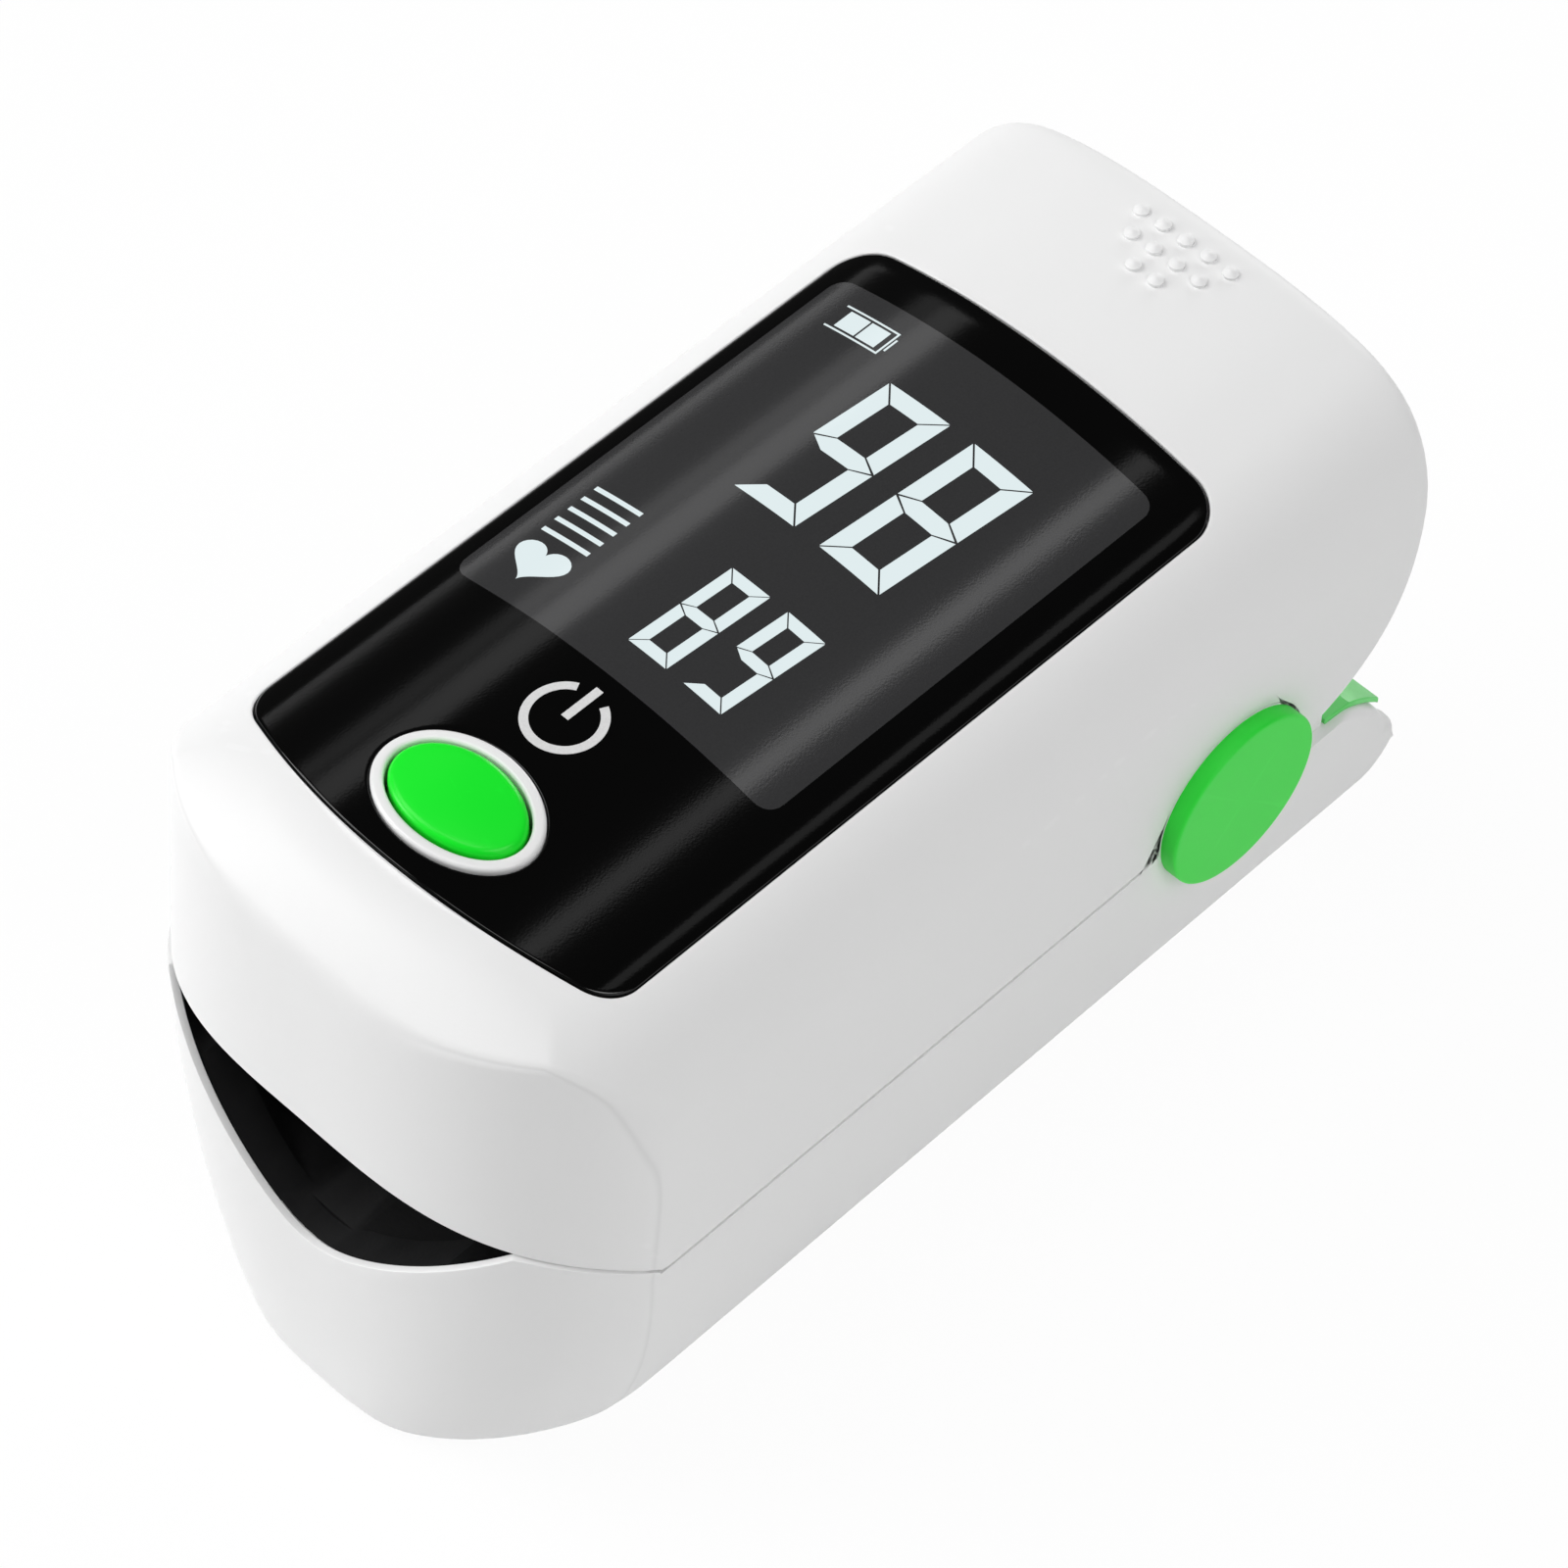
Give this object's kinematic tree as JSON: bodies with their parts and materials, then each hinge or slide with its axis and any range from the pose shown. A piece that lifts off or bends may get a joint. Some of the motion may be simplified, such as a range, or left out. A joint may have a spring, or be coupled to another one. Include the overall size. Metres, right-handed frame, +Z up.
{
  "type": "fingertip pulse oximeter",
  "caption": "Spring-jawed clip that closes on a fingertip, with a padded groove, a light path across it, a dark lens over a display, a push button and a sliding battery cover.",
  "frame": {"origin": "on the ground under the middle of the body, which rests on the flat underside of the battery cover and lower shell", "axes": "+X from the finger opening towards the pinch end, +Y across the body along the hinge pin, +Z up through the display"},
  "size_m": [0.0604, 0.0326, 0.0363],
  "materials": {
    "shell": "white moulded ABS, satin gloss",
    "cover": "white moulded ABS, satin gloss",
    "frame_green": "bright green moulded plastic",
    "cap_green": "bright green moulded plastic, smooth",
    "button_green": "bright green moulded plastic, glossy",
    "ring_white": "white moulded plastic, glossy",
    "lens_black": "tinted acrylic, black from behind, glossy",
    "display": "dark display module with a clear front",
    "pad_black": "soft black silicone, matte",
    "board_green": "circuit board, solder mask",
    "chip_black": "moulded chip package",
    "parts_tan": "ceramic parts and a coil",
    "connector": "ivory connector housing",
    "switch_steel": "stamped switch housing",
    "plunger": "black switch plunger",
    "led": "white LED package",
    "diode": "dark photodiode package",
    "window_red": "clear red light window",
    "cell_can": "metal can with a plain sleeve",
    "contact": "plated spring contacts",
    "steel": "plain steel",
    "flex": "polyimide flat cable"
  },
  "bodies": {
    "base": {"lower_shell": "shell", "lower_inner_frame": "frame_green", "lower_pad": "pad_black", "sensor_board": "board_green", "photodiode": "diode", "detector_window": "window_red", "aaa_cells": "cell_can", "contact_bridge": "contact", "contact_terminals": "contact", "contact_springs": "contact", "lower_screws": "steel", "hinge_pin": "steel", "hinge_cap_left": "cap_green", "hinge_cap_right": "cap_green", "torsion_spring_left": "steel", "torsion_spring_right": "steel", "flex_cable": "flex"},
    "cover": {"battery_cover": "cover"},
    "jaw": {"upper_shell": "shell", "lens_panel": "lens_black", "button_ring": "ring_white", "display_module": "display", "main_board": "board_green", "processor_chip": "chip_black", "board_parts": "parts_tan", "flex_connector": "connector", "tact_switch": "switch_steel", "upper_inner_frame": "frame_green", "upper_pad": "pad_black", "emitter_led": "led", "emitter_window": "window_red", "upper_screws": "steel"},
    "button": {"power_button": "button_green", "switch_plunger": "plunger"}
  },
  "joints": [
    {"name": "jaw_hinge", "type": "hinge", "parent": "base", "child": "jaw", "pos_m": [0.0157, 0, 0.0184], "axis": [0, 1, 0], "range_deg": [0, 12], "stiffness_Nm_per_rad": 0.15, "springref_deg": -20.05, "deforming": ["torsion_spring_left", "torsion_spring_right", "flex_cable"]},
    {"name": "cover_slide", "type": "slide", "parent": "base", "child": "cover", "axis": [1, 0, 0], "range_m": [0, 0.007]},
    {"name": "button_press", "type": "slide", "parent": "jaw", "child": "button", "axis": [0, 0, -1], "range_m": [0, 0.0004], "stiffness_N_per_m": 1000, "springref_m": -0.0003}
  ]
}
